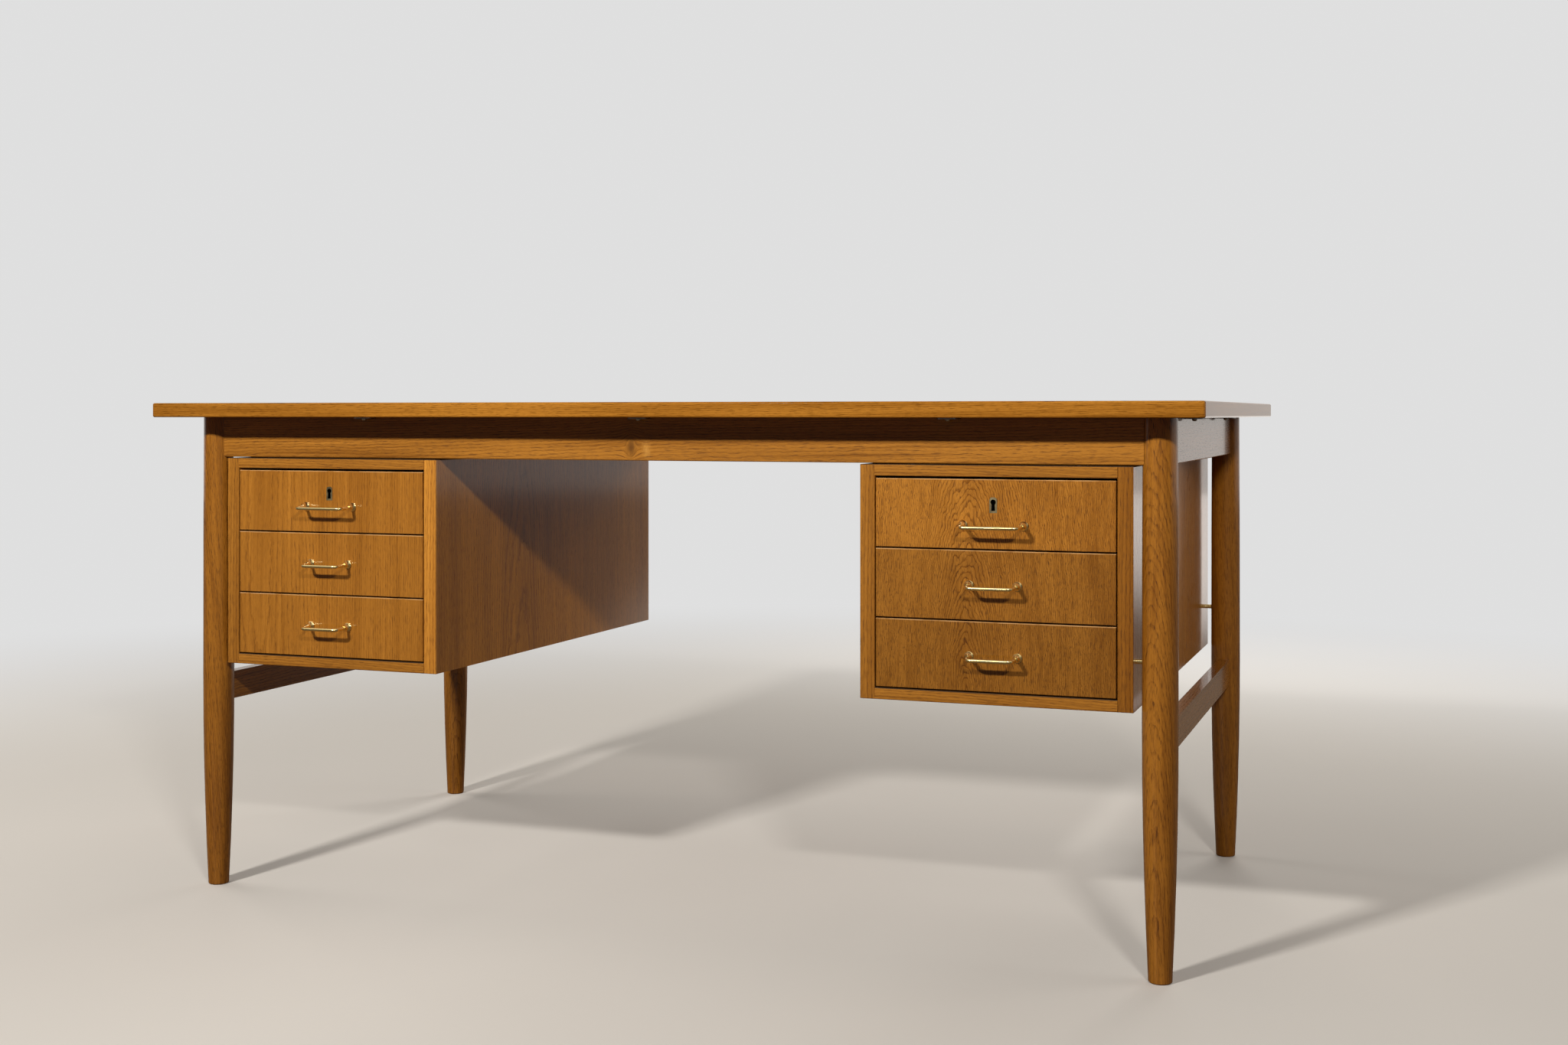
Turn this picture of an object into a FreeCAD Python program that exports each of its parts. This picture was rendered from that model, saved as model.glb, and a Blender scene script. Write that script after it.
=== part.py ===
import FreeCAD, Part
import math
import os

# Oak writing desk with a slab top, four turned legs and two hung pedestals of three drawers each.
# Millimetres, +Z up, +X to the sitter's right, -Y towards the sitter.
# The origin is on the floor, under the middle of the top.

# The drawers of a pedestal from the lowest up, and the two hands of the desk
LEVELS = ("bottom", "middle", "top")
SIDES = {"left": -1, "right": 1}

# Top: a veneered panel framed by a mitred solid lipping
desk_height = 730.0
top_width = 1550.0
top_depth = 850.0
top_thickness = 21.0
lipping_width = 12.0
top_edge_radius = 2.5
top_corner_radius = 4.0

# Legs: turned round, fullest at the belly and drawn in towards the foot
leg_inset_x = 65.0
leg_inset_y = 73.0
leg_top_diameter = 43.5
leg_belly_diameter = 45.5
leg_belly_height = 320.0
leg_foot_diameter = 30.0
leg_foot_chamfer = 1.5
leg_lower_tapers = 5
leg_upper_tapers = 2

# Aprons under the top and stretchers between the legs of each end, tenoned into the legs
apron_height = 59.8
long_apron_thickness = 24.0
end_apron_thickness = 20.0
apron_tenon_thickness = 9.0
apron_tenon_shoulder = 8.0
stretcher_height = 42.0
stretcher_thickness = 17.0
stretcher_clearance_below = 277.5
stretcher_tenon_thickness = 8.0
stretcher_tenon_shoulder = 6.0
tenon_stop = 6.0
rail_edge_chamfer = 1.2

# Steel plates let into the aprons' upper edges, which hold the top
plate_width = 30.0
plate_thickness = 2.0
plate_screw_spacing = 20.0
plate_spread_x = 440.0
plate_spread_y = 180.0
plate_screw_diameter = 3.5
plate_screw_head_diameter = 7.0
plate_screw_crown_diameter = 4.6
plate_screw_head_height = 3.0
top_screw_grip = 14.0
apron_screw_grip = 22.0

# Pedestals: sides running full height, boards tongued between them, back in a rebate
pedestal_width = 359.0
pedestal_height = 309.0
pedestal_gap = 1.4
pedestal_leg_gap = 7.75
pedestal_overhang = 19.0
side_thickness = 20.0
board_thickness = 15.0
back_thickness = 9.0
back_rebate = 8.0
tongue_length = 6.0
tongue_thickness = 6.0
tongue_setback = 15.0
pedestal_edge_chamfer = 0.8

# What hangs the pedestals: screws through washers into the aprons, and brass rods into the legs
washer_diameter = 18.0
hanger_screw_diameter = 5.0
hanger_head_diameter = 10.0
hanger_head_height = 3.0
hanger_grip = 24.0
hanger_spread = 110.0
rod_diameter = 6.3
rod_rise = 62.7
rod_depth_in_leg = 14.0
rod_depth_in_side = 12.0

# Drawers: flush fronts, half-blind dovetailed sides, housed backs, grooved-in bottoms
drawer_gap = 2.0
top_reveal = 3.0
side_reveal = 1.75
front_thickness = 18.0
front_edge_chamfer = 0.7
drawer_rear_space = 93.0
box_side_thickness = 12.0
box_side_rise = 4.0
box_side_drop = 12.0
box_side_chamfer = 2.0
box_back_thickness = 10.0
box_back_inset = 12.0
box_back_drop = 6.0
box_back_housing = 4.0
bottom_thickness = 4.0
bottom_rise = 8.0
bottom_groove = 5.0
tail_count = 3
tail_length = 12.0
tail_root_share = 0.50
tail_tip_share = 0.70

# Wooden runners in the pedestal sides, which the grooved drawer sides slide on
runner_height = 10.0
runner_shortfall = 22.0
runner_housing = 3.0
runner_groove_depth = 7.0
runner_end_play = 0.5
runner_play_below = 0.7

# Brass bow handles with trumpet-shaped feet, larger on the top drawers
top_handle_spacing = 80.0
top_handle_reach = 30.0
top_handle_drop_left = 52.5
top_handle_drop_right = 59.5
low_handle_spacing = 63.5
low_handle_reach = 28.0
bow_diameter = 5.2
bow_bend_radius = 6.5
bow_inset = 2.5
bow_sag = 2.0
foot_diameter = 12.5
foot_lip = 1.4
foot_length = 11.0
foot_waist_radius_share = 0.24
foot_waist_length_share = 0.38
handle_screw_diameter = 3.0
handle_screw_reach = 7.0
handle_screw_head_diameter = 7.0
handle_screw_head_height = 2.2

# Locks of the top drawers, with a bolt that rises into the pedestal's top board
lock_width = 45.0
lock_height = 52.0
lock_thickness = 10.0
lock_keyway_depth = 6.0
bolt_width = 16.0
bolt_thickness = 5.0
bolt_length = 20.0
bolt_throw = 8.0
bolt_slot_margin = 0.8
bolt_slot_spare = 1.5
key_drop = 29.5
key_hole_diameter = 7.0
key_slot_width = 4.0
key_slot_foot_width = 5.0
key_slot_length = 11.3
insert_width = 10.0
insert_above_key = 6.2
insert_below_key = 13.9
insert_shoulder_radius = 4.0
insert_thickness = 3.0
insert_pride = 0.2

# Flat sides that stand for a full turn on the small screws and in their holes
screw_sides = 12

# Fits and cuts
joint_clearance = 0.1
running_clearance = 0.3
overrun = 5.0

# Places that follow from the sizes above
top_underside = desk_height - top_thickness
leg_x = top_width / 2 - leg_inset_x
leg_y = top_depth / 2 - leg_inset_y
apron_low = top_underside - apron_height
pedestal_top = apron_low - pedestal_gap
pedestal_low = pedestal_top - pedestal_height
pedestal_centre_x = leg_x - leg_belly_diameter / 2 - pedestal_leg_gap - pedestal_width / 2
pedestal_front = -leg_y - pedestal_overhang
pedestal_rear = leg_y + pedestal_overhang
rod_height = pedestal_low + rod_rise
inner_half = pedestal_width / 2 - side_thickness
opening_low = pedestal_low + board_thickness
opening_high = pedestal_top - board_thickness
front_height = (opening_high - opening_low - top_reveal) / len(LEVELS) - drawer_gap
front_half = inner_half - side_reveal
front_rear = pedestal_front + front_thickness
box_inner_half = front_half - box_side_thickness
box_side_height = front_height - box_side_rise - box_side_drop
drawer_rear = pedestal_rear - back_thickness - drawer_rear_space
runner_reach = side_reveal + runner_groove_depth - runner_end_play
groove_height = runner_height + running_clearance + runner_play_below
lock_front = front_rear - lock_thickness
bolt_y = front_rear - lock_thickness / 2

LEGS = {
    "front_left": (-leg_x, -leg_y),
    "front_right": (leg_x, -leg_y),
    "rear_left": (-leg_x, leg_y),
    "rear_right": (leg_x, leg_y),
}
# Each rail runs from its first leg to its second, with its thickness, tenon and lower and upper edge.
apron_form = (apron_tenon_thickness, apron_tenon_shoulder, apron_low, top_underside)
stretcher_form = (
    stretcher_tenon_thickness,
    stretcher_tenon_shoulder,
    stretcher_clearance_below,
    stretcher_clearance_below + stretcher_height,
)
RAILS = {
    "front_apron": ("front_left", "front_right", long_apron_thickness) + apron_form,
    "rear_apron": ("rear_left", "rear_right", long_apron_thickness) + apron_form,
    "left_apron": ("front_left", "rear_left", end_apron_thickness) + apron_form,
    "right_apron": ("front_right", "rear_right", end_apron_thickness) + apron_form,
    "left_stretcher": ("front_left", "rear_left", stretcher_thickness) + stretcher_form,
    "right_stretcher": ("front_right", "rear_right", stretcher_thickness) + stretcher_form,
}


def vector(x, y, z):
    return FreeCAD.Vector(x, y, z)


def block(x_ends, y_ends, z_ends):
    """Box between two ends along each axis, given in either order."""
    low = [min(ends) for ends in (x_ends, y_ends, z_ends)]
    size = [abs(ends[1] - ends[0]) for ends in (x_ends, y_ends, z_ends)]
    return Part.makeBox(*size, vector(*low))


def bar(diameter, start, end):
    """Round bar between two points."""
    return Part.makeCylinder(diameter / 2, (end - start).Length, start, end - start)


def prism(corners, along):
    """Solid of a closed outline pushed along a vector."""
    return Part.Face(Part.makePolygon(corners + corners[:1])).extrude(along)


def screw_form(*stations):
    """Screw or its hole, with a few flat sides, through stations on one axis: a point and a diameter each."""
    axis = stations[-1][0] - stations[0][0]
    upright = abs(axis.z) > abs(axis.x) + abs(axis.y)
    across = axis.cross(vector(0, 1, 0) if upright else vector(0, 0, 1)).normalize()
    upward = axis.cross(across).normalize()
    rings = []
    for point, diameter in stations:
        angles = [2 * math.pi * index / screw_sides for index in range(screw_sides)]
        spokes = [across * math.cos(angle) + upward * math.sin(angle) for angle in angles]
        corners = [point + spoke * (diameter / 2) for spoke in spokes]
        rings.append(Part.makePolygon(corners + corners[:1]))
    return Part.makeLoft(rings, True, True)


def rounded(shape, radius, chosen):
    """Round the edges that the test picks."""
    return shape.makeFillet(radius, [edge for edge in shape.Edges if chosen(edge.BoundBox)])


def chamfered(shape, size, chosen):
    """Chamfer the edges that the test picks."""
    return shape.makeChamfer(size, [edge for edge in shape.Edges if chosen(edge.BoundBox)])


def all_at(low, high, value):
    """True where a box's low and high side both lie at a value."""
    return abs(low - value) < joint_clearance and abs(high - value) < joint_clearance


def save(node, *solids):
    shape = solids[0] if len(solids) == 1 else Part.makeCompound(list(solids))
    shape.exportStep(os.path.join("parts", node + ".step"))


# Top


def top_slab():
    """Whole outline of the top, with its corners and edges rounded."""
    x_ends = (-top_width / 2, top_width / 2)
    y_ends = (-top_depth / 2, top_depth / 2)
    slab = block(x_ends, y_ends, (top_underside, desk_height))
    slab = rounded(slab, top_corner_radius, lambda b: b.ZLength > top_thickness / 2)
    return rounded(slab, top_edge_radius, lambda b: b.ZLength < joint_clearance)


def top_core(z_ends):
    half_width = top_width / 2 - lipping_width
    half_depth = top_depth / 2 - lipping_width
    return block((-half_width, half_width), (-half_depth, half_depth), z_ends)


def lipping_strips():
    """Four strips with mitred ends, cut from the rounded rim of the top."""
    rim = top_slab().cut(top_core((top_underside - overrun, desk_height + overrun)))
    strips = []
    for across, length, depth in ((False, top_width, top_depth), (True, top_depth, top_width)):
        for sign in (-1, 1):
            outer = length / 2 + overrun
            inner = length / 2 - lipping_width - overrun
            near = depth / 2 + overrun
            far = depth / 2 - lipping_width - overrun
            outline = [(-outer, near), (outer, near), (inner, far), (-inner, far)]
            corners = [(x, sign * y) for x, y in outline]
            if across:
                corners = [(y, x) for x, y in corners]
            wedge = prism([vector(x, y, top_underside) for x, y in corners], vector(0, 0, top_thickness))
            strips.append(rim.common(wedge))
    return strips


# Legs and rails


def leg_radius(height):
    """Radius of the turned leg: parabolas from an upright belly to the foot and to the top."""
    if height < leg_belly_height:
        end_diameter = leg_foot_diameter
        share = 1 - height / leg_belly_height
    else:
        end_diameter = leg_top_diameter
        share = (height - leg_belly_height) / (top_underside - leg_belly_height)
    return (leg_belly_diameter + (end_diameter - leg_belly_diameter) * share ** 2) / 2


def leg_blank(place, grown=0):
    """Turned leg with a chamfered foot, its long curves worked as short tapers."""
    below = [leg_belly_height * step / leg_lower_tapers for step in range(1, leg_lower_tapers)]
    upper_length = top_underside - leg_belly_height
    above = [upper_length * step / leg_upper_tapers for step in range(leg_upper_tapers + 1)]
    heights = [leg_foot_chamfer] + below + [leg_belly_height + height for height in above]
    outline = [vector(0, 0, 0), vector(leg_radius(0) - leg_foot_chamfer + grown, 0, 0)]
    outline += [vector(leg_radius(height) + grown, 0, height) for height in heights]
    outline.append(vector(0, 0, top_underside))
    profile = Part.Face(Part.makePolygon(outline + outline[:1]))
    leg = profile.revolve(vector(0, 0, 0), vector(0, 0, 1), 360)
    return leg.translated(vector(*place, 0))


def rail_board(first, second, end_inset, thickness, low, high):
    """Upright board on the line between two leg axes."""
    (x_from, y_from), (x_to, y_to) = LEGS[first], LEGS[second]
    half = thickness / 2
    if y_from == y_to:
        return block((x_from + end_inset, x_to - end_inset), (y_from - half, y_from + half), (low, high))
    return block((x_from - half, x_from + half), (y_from + end_inset, y_to - end_inset), (low, high))


def rail(first, second, thickness, tenon, shoulder, low, high):
    """Rail with ends coped to the round legs, and a tenon at each end."""
    board = rail_board(first, second, 0, thickness, low, high)
    length = max(board.BoundBox.XLength, board.BoundBox.YLength)
    board = chamfered(board, rail_edge_chamfer, lambda b: b.DiagonalLength > length / 2 and b.ZMax < high)
    board = board.cut([leg_blank(LEGS[leg], joint_clearance) for leg in (first, second)])
    tenons = rail_board(first, second, tenon_stop, tenon, low + shoulder, high - shoulder)
    return board.fuse(tenons).removeSplitter()


def rail_mortise(first, second, thickness, tenon, shoulder, low, high):
    """Room for a rail's tenons."""
    depth = tenon_stop - joint_clearance
    room = shoulder - joint_clearance
    return rail_board(first, second, depth, tenon + 2 * joint_clearance, low + room, high - room)


# Fastening of the top


def plate_places():
    """Each plate's two screw points on the underside of the top: in the apron, and outside it."""
    places = []
    for sign in (-1, 1):
        for x in (-plate_spread_x, 0, plate_spread_x):
            within = vector(x, sign * leg_y, top_underside)
            places.append((within, within + vector(0, sign * plate_screw_spacing, 0)))
        for y in (-plate_spread_y, plate_spread_y):
            within = vector(sign * leg_x, y, top_underside)
            places.append((within, within + vector(sign * plate_screw_spacing, 0, 0)))
    return places


def obround(within, outside, width, depth):
    """Plate with two round ends, hanging from the underside of the top."""
    down = vector(0, 0, -depth)
    across = (outside - within).cross(vector(0, 0, 1)).normalize() * (width / 2)
    strip = prism([within - across, within + across, outside + across, outside - across], down)
    ends = [bar(width, point, point + down) for point in (within, outside)]
    return strip.fuse(ends).removeSplitter()


def apron_screw(within, grown=0):
    """Countersunk screw, flush with the plate, driven down into the apron."""
    head_diameter = plate_screw_head_diameter + 2 * grown
    diameter = plate_screw_diameter + 2 * grown
    neck = within - vector(0, 0, plate_thickness)
    end = neck - vector(0, 0, apron_screw_grip + grown)
    return screw_form((within, head_diameter), (neck, diameter), (end, diameter))


def top_screw(outside, grown=0):
    """Round-headed screw under the plate, driven up into the top."""
    diameter = plate_screw_diameter + 2 * grown
    under = outside - vector(0, 0, plate_thickness)
    crown = under - vector(0, 0, plate_screw_head_height)
    head = screw_form((crown, plate_screw_crown_diameter), (under, plate_screw_head_diameter))
    shank = screw_form((under, diameter), (outside + vector(0, 0, top_screw_grip + grown), diameter))
    return head.fuse(shank).removeSplitter()


# Pedestals, modelled about x = 0 and then moved to their places


def drawer_low(level):
    """Height of the lower edge of a drawer's front."""
    return opening_low + drawer_gap + LEVELS.index(level) * (front_height + drawer_gap)


def groove_high(level):
    """Height of the upper face of a drawer's runner grooves."""
    return drawer_low(level) + box_side_rise + (box_side_height + groove_height) / 2


def runner(level, hand):
    """Wooden strip in the pedestal side on one hand, -1 or 1."""
    x_ends = (hand * (inner_half - runner_reach), hand * (inner_half + runner_housing))
    y_ends = (front_rear + running_clearance, drawer_rear - runner_shortfall)
    top = groove_high(level) - running_clearance
    return block(x_ends, y_ends, (top - runner_height, top))


def board_tongue(low, grown=0):
    """Tongues on both ends of a board, set back from the front."""
    half = inner_half + tongue_length + grown
    middle = low + board_thickness / 2
    reach = tongue_thickness / 2 + grown
    y_ends = (pedestal_front + tongue_setback - grown, pedestal_rear)
    return block((-half, half), y_ends, (middle - reach, middle + reach))


def back_panel(grown=0):
    half = inner_half + back_rebate - joint_clearance + grown
    margin = back_rebate - joint_clearance + grown
    y_ends = (pedestal_rear - back_thickness - grown, pedestal_rear + grown)
    return block((-half, half), y_ends, (opening_low - margin, opening_high + margin))


def front_edges(box):
    """Edges that lie on the pedestal's front plane."""
    return all_at(box.YMin, box.YMax, pedestal_front)


def pedestal_side(hand):
    """Side on one hand, with grooves for the boards, a rebate for the back and housings for runners."""
    x_ends = (hand * inner_half, hand * pedestal_width / 2)
    panel = block(x_ends, (pedestal_front, pedestal_rear), (pedestal_low, pedestal_top))
    panel = chamfered(panel, pedestal_edge_chamfer, front_edges)
    tongues = [board_tongue(low, joint_clearance) for low in (pedestal_low, opening_high)]
    runners = [runner(level, hand) for level in LEVELS]
    return panel.cut(tongues + [back_panel(joint_clearance)] + runners)


def pedestal_board(low):
    """Top or bottom board with its tongues, rebated for the back."""
    board = block((-inner_half, inner_half), (pedestal_front, pedestal_rear), (low, low + board_thickness))
    board = chamfered(board, pedestal_edge_chamfer, lambda b: front_edges(b) and b.XLength > inner_half)
    return board.fuse(board_tongue(low)).removeSplitter().cut(back_panel(joint_clearance))


def hanger_places():
    return [(x, y) for x in (-hanger_spread, hanger_spread) for y in (-leg_y, leg_y)]


def hanger_screw(x, y, grown=0):
    """Countersunk screw from inside the pedestal, up through its top board into the apron."""
    head_diameter = hanger_head_diameter + 2 * grown
    diameter = hanger_screw_diameter + 2 * grown
    low = vector(x, y, opening_high)
    neck = low + vector(0, 0, hanger_head_height)
    end = vector(x, y, apron_low + hanger_grip + grown)
    return screw_form((low, head_diameter), (neck, diameter), (end, diameter))


def hanger_washer(x, y):
    washer = bar(washer_diameter, vector(x, y, pedestal_top), vector(x, y, apron_low))
    return washer.cut(hanger_screw(x, y, joint_clearance))


def spacer_rod(side, sign, grown=0):
    """Brass rod from a pedestal's outer side into the front or rear leg beside it, in the desk's frame."""
    from_x = SIDES[side] * (pedestal_centre_x + pedestal_width / 2 - rod_depth_in_side - grown)
    to_x = SIDES[side] * (leg_x - leg_belly_diameter / 2 + rod_depth_in_leg + grown)
    start = vector(from_x, sign * leg_y, rod_height)
    end = vector(to_x, sign * leg_y, rod_height)
    return bar(rod_diameter + 2 * grown, start, end)


# Drawers, modelled about x = 0 in their closed places


def dovetails(level, hand, grown=0):
    """Row of tails on the end of a drawer side, wider at the tip."""
    pitch = box_side_height / tail_count
    x_from = hand * (box_inner_half - grown)
    along = vector(hand * (front_half + grown) - x_from, 0, 0)
    tip = front_rear - tail_length - grown
    tails = []
    for index in range(tail_count):
        middle = drawer_low(level) + box_side_rise + pitch * (index + 0.5)
        root_half = pitch * tail_root_share / 2 + grown
        tip_half = pitch * tail_tip_share / 2 + grown
        outline = [
            vector(x_from, front_rear, middle - root_half),
            vector(x_from, tip, middle - tip_half),
            vector(x_from, tip, middle + tip_half),
            vector(x_from, front_rear, middle + root_half),
        ]
        tails.append(prism(outline, along))
    return tails


def drawer_bottom(level, grown=0):
    """Thin panel held in grooves of the sides and the front, running under the back."""
    half = box_inner_half + bottom_groove - joint_clearance + grown
    low = drawer_low(level) + box_side_rise + bottom_rise
    y_ends = (front_rear - bottom_groove + joint_clearance - grown, drawer_rear - box_back_inset + grown)
    return block((-half, half), y_ends, (low - grown, low + bottom_thickness + grown))


def drawer_back(level, grown=0):
    """Back board let into housings in the sides, standing on the bottom panel."""
    half = box_inner_half + box_back_housing - joint_clearance + grown
    rear = drawer_rear - box_back_inset
    low = drawer_low(level) + box_side_rise + bottom_rise + bottom_thickness
    high = drawer_low(level) + box_side_rise + box_side_height - box_back_drop
    y_ends = (rear - box_back_thickness - grown, rear + grown)
    return block((-half, half), y_ends, (low - grown, high + grown))


def drawer_side(level, hand):
    """Side with tails at the front and a groove for the runner along its outer face."""
    low = drawer_low(level) + box_side_rise
    high = low + box_side_height
    board = block((hand * box_inner_half, hand * front_half), (front_rear, drawer_rear), (low, high))
    long_top_edge = lambda b: all_at(b.ZMin, b.ZMax, high) and b.YLength > overrun
    board = chamfered(board, box_side_chamfer, long_top_edge)
    groove_top = groove_high(level)
    x_ends = (hand * (front_half - runner_groove_depth), hand * (front_half + overrun))
    groove = block(x_ends, (front_rear, drawer_rear + overrun), (groove_top - groove_height, groove_top))
    board = board.fuse(dovetails(level, hand)).removeSplitter()
    return board.cut([groove, drawer_bottom(level, joint_clearance), drawer_back(level, joint_clearance)])


def key_outline(level, grown=0):
    """Keyhole: a round hole with a slot below that widens towards its foot, through the drawer's front."""
    centre_z = drawer_low(level) + front_height - key_drop
    start = pedestal_front - overrun
    neck = key_slot_width / 2 + grown
    foot = key_slot_foot_width / 2 + grown
    low = centre_z - key_slot_length - grown
    outline = [
        vector(-neck, start, centre_z),
        vector(neck, start, centre_z),
        vector(foot, start, low),
        vector(-foot, start, low),
    ]
    depth = lock_front + lock_keyway_depth - start
    slot = prism(outline, vector(0, depth, 0))
    middle = vector(0, start, centre_z)
    hole = bar(key_hole_diameter + 2 * grown, middle, middle + vector(0, depth, 0))
    return slot.fuse(hole).removeSplitter()


def key_insert_blank(level, grown=0):
    """Outline of the insert, square at the foot with rounded shoulders."""
    centre_z = drawer_low(level) + front_height - key_drop
    half = insert_width / 2 + grown
    y_ends = (pedestal_front - insert_pride - grown, pedestal_front + insert_thickness + grown)
    z_ends = (centre_z - insert_below_key - grown, centre_z + insert_above_key + grown)
    blank = block((-half, half), y_ends, z_ends)
    shoulder = lambda b: b.ZMin > centre_z and b.YLength > insert_thickness
    return rounded(blank, insert_shoulder_radius, shoulder)


def lock_blank(level, grown=0):
    high = drawer_low(level) + front_height
    half = lock_width / 2 + grown
    y_ends = (lock_front - grown, front_rear + grown)
    return block((-half, half), y_ends, (high - lock_height - grown, high + grown))


def lock_bolt(level, margin=0, lift=0):
    """Bolt, level with the lock's upper edge while drawn in, and lifted by its throw to lock."""
    high = drawer_low(level) + front_height
    half = bolt_width / 2 + margin
    reach = bolt_thickness / 2 + margin
    return block((-half, half), (bolt_y - reach, bolt_y + reach), (high - bolt_length - margin, high + lift))


def lock_case(level):
    """Case with a keyway in its front and a channel that the bolt rises from."""
    return lock_blank(level).cut([lock_bolt(level, running_clearance, overrun), key_outline(level)])


def bolt_slot(level):
    """Slot in the pedestal's top board that takes the raised bolt."""
    return lock_bolt(level, bolt_slot_margin, bolt_throw + bolt_slot_spare)


def handle_size(side, level):
    """Distance between a handle's feet, its reach, and its drop below the front's upper edge."""
    if level != "top":
        return low_handle_spacing, low_handle_reach, front_height / 2
    drops = {"left": top_handle_drop_left, "right": top_handle_drop_right}
    return top_handle_spacing, top_handle_reach, drops[side]


def handle_places(side, level):
    """Points on the drawer's face where the handle's feet stand."""
    spacing, _, drop = handle_size(side, level)
    height = drawer_low(level) + front_height - drop
    return [vector(sign * spacing / 2, pedestal_front, height) for sign in (-1, 1)]


def handle_foot(place):
    """Trumpet-shaped foot, turned about the axis of its screw."""
    rim = foot_diameter / 2
    slim = bow_diameter / 2
    waist_x = slim + (rim - slim) * foot_waist_radius_share
    waist_y = -foot_lip - (foot_length - foot_lip) * foot_waist_length_share
    flare = Part.Arc(vector(rim, -foot_lip, 0), vector(waist_x, waist_y, 0), vector(slim, -foot_length, 0))
    corners = [vector(slim, -foot_length, 0), vector(0, -foot_length, 0), vector(0, 0, 0), vector(rim, 0, 0)]
    outline = Part.makePolygon(corners + [vector(rim, -foot_lip, 0)])
    profile = Part.Wire([flare.toShape()] + outline.Edges)
    return Part.Face(profile).revolve(vector(0, 0, 0), vector(0, 1, 0), 360).translated(place)


def bow(spacing, reach):
    """Round bow from foot to foot: two arms leaning inwards and a straight grip, with rounded bends."""
    foot = vector(spacing / 2, 0, 0)
    corner = vector(spacing / 2 - bow_inset, -reach, 0)
    arm = (corner - foot).normalize()
    turn = math.pi / 2 - math.atan(bow_inset / reach)
    set_back = bow_bend_radius * math.tan(turn / 2)
    start = foot + arm * foot_lip
    bend_from = corner - arm * set_back
    bend_to = corner - vector(set_back, 0, 0)
    inward = (bend_from + bend_to) / 2 - corner
    depth = bow_bend_radius / math.cos(turn / 2) - bow_bend_radius
    bend_middle = corner + inward.normalize() * depth

    def flip(point):
        return vector(-point.x, point.y, point.z)

    path = Part.Wire([
        Part.makeLine(start, bend_from),
        Part.Arc(bend_from, bend_middle, bend_to).toShape(),
        Part.makeLine(bend_to, flip(bend_to)),
        Part.Arc(flip(bend_to), flip(bend_middle), flip(bend_from)).toShape(),
        Part.makeLine(flip(bend_from), flip(start)),
    ])
    section = Part.Wire(Part.makeCircle(bow_diameter / 2, start, arm))
    sag_angle = math.degrees(math.asin(bow_sag / reach))
    return path.makePipeShell([section], True, False).rotated(vector(0, 0, 0), vector(1, 0, 0), sag_angle)


def handle_screw(place, grown=0):
    """Screw from inside the drawer, through its front into a handle's foot."""
    diameter = handle_screw_diameter + 2 * grown
    inside = vector(place.x, front_rear, place.z)
    end = place - vector(0, handle_screw_reach + grown, 0)
    return screw_form((inside, diameter), (end, diameter))


def handle_screw_head(place):
    inside = vector(place.x, front_rear, place.z)
    end = inside + vector(0, handle_screw_head_height, 0)
    return screw_form((inside, handle_screw_head_diameter), (end, handle_screw_head_diameter))


def handle(side, level):
    """Bow and feet as one casting, and its two screws."""
    spacing, reach, _ = handle_size(side, level)
    places = handle_places(side, level)
    middle = (places[0] + places[1]) / 2
    casting = bow(spacing, reach).translated(middle).fuse([handle_foot(place) for place in places])
    casting = casting.removeSplitter().cut([handle_screw(place, joint_clearance) for place in places])
    screws = [handle_screw(place).fuse(handle_screw_head(place)).removeSplitter() for place in places]
    return [casting] + screws


def drawer_front(side, level):
    """Front with dovetail sockets, a groove for the bottom, and the holes for handle and lock."""
    low = drawer_low(level)
    board = block((-front_half, front_half), (pedestal_front, front_rear), (low, low + front_height))
    board = chamfered(board, front_edge_chamfer, front_edges)
    cuts = [drawer_bottom(level, joint_clearance)]
    for hand in SIDES.values():
        cuts += dovetails(level, hand, joint_clearance)
    cuts += [handle_screw(place, joint_clearance) for place in handle_places(side, level)]
    if level == "top":
        cuts += [key_outline(level), key_insert_blank(level, joint_clearance)]
        cuts.append(lock_blank(level, joint_clearance))
    return board.cut(cuts)


# Building and saving


def build_top():
    screws = [top_screw(outside, joint_clearance) for _, outside in plate_places()]
    save("top_panel", top_core((top_underside, desk_height)).cut(screws))
    save("top_lipping", *lipping_strips())


def build_frame():
    places = plate_places()
    rods = [spacer_rod(side, sign, joint_clearance) for side in SIDES for sign in (-1, 1)]
    mortises = [rail_mortise(*form) for form in RAILS.values()]
    for name, place in LEGS.items():
        save(name + "_leg", leg_blank(place).cut(mortises + rods))
    recesses = [obround(*place, plate_width + 2 * joint_clearance, plate_thickness) for place in places]
    recesses += [apron_screw(within, joint_clearance) for within, _ in places]
    for sign in SIDES.values():
        recesses += [
            hanger_screw(x, y, joint_clearance).translated(vector(sign * pedestal_centre_x, 0, 0))
            for x, y in hanger_places()
        ]
    for name, form in RAILS.items():
        save(name, rail(*form).cut(recesses))


def build_fasteners():
    plates = []
    screws = []
    for within, outside in plate_places():
        plate = obround(within, outside, plate_width, plate_thickness)
        plates.append(plate.cut([apron_screw(within, joint_clearance), top_screw(outside, joint_clearance)]))
        screws += [apron_screw(within), top_screw(outside)]
    save("top_fastener_plates", *plates)
    save("top_fastener_screws", *screws)


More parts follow.
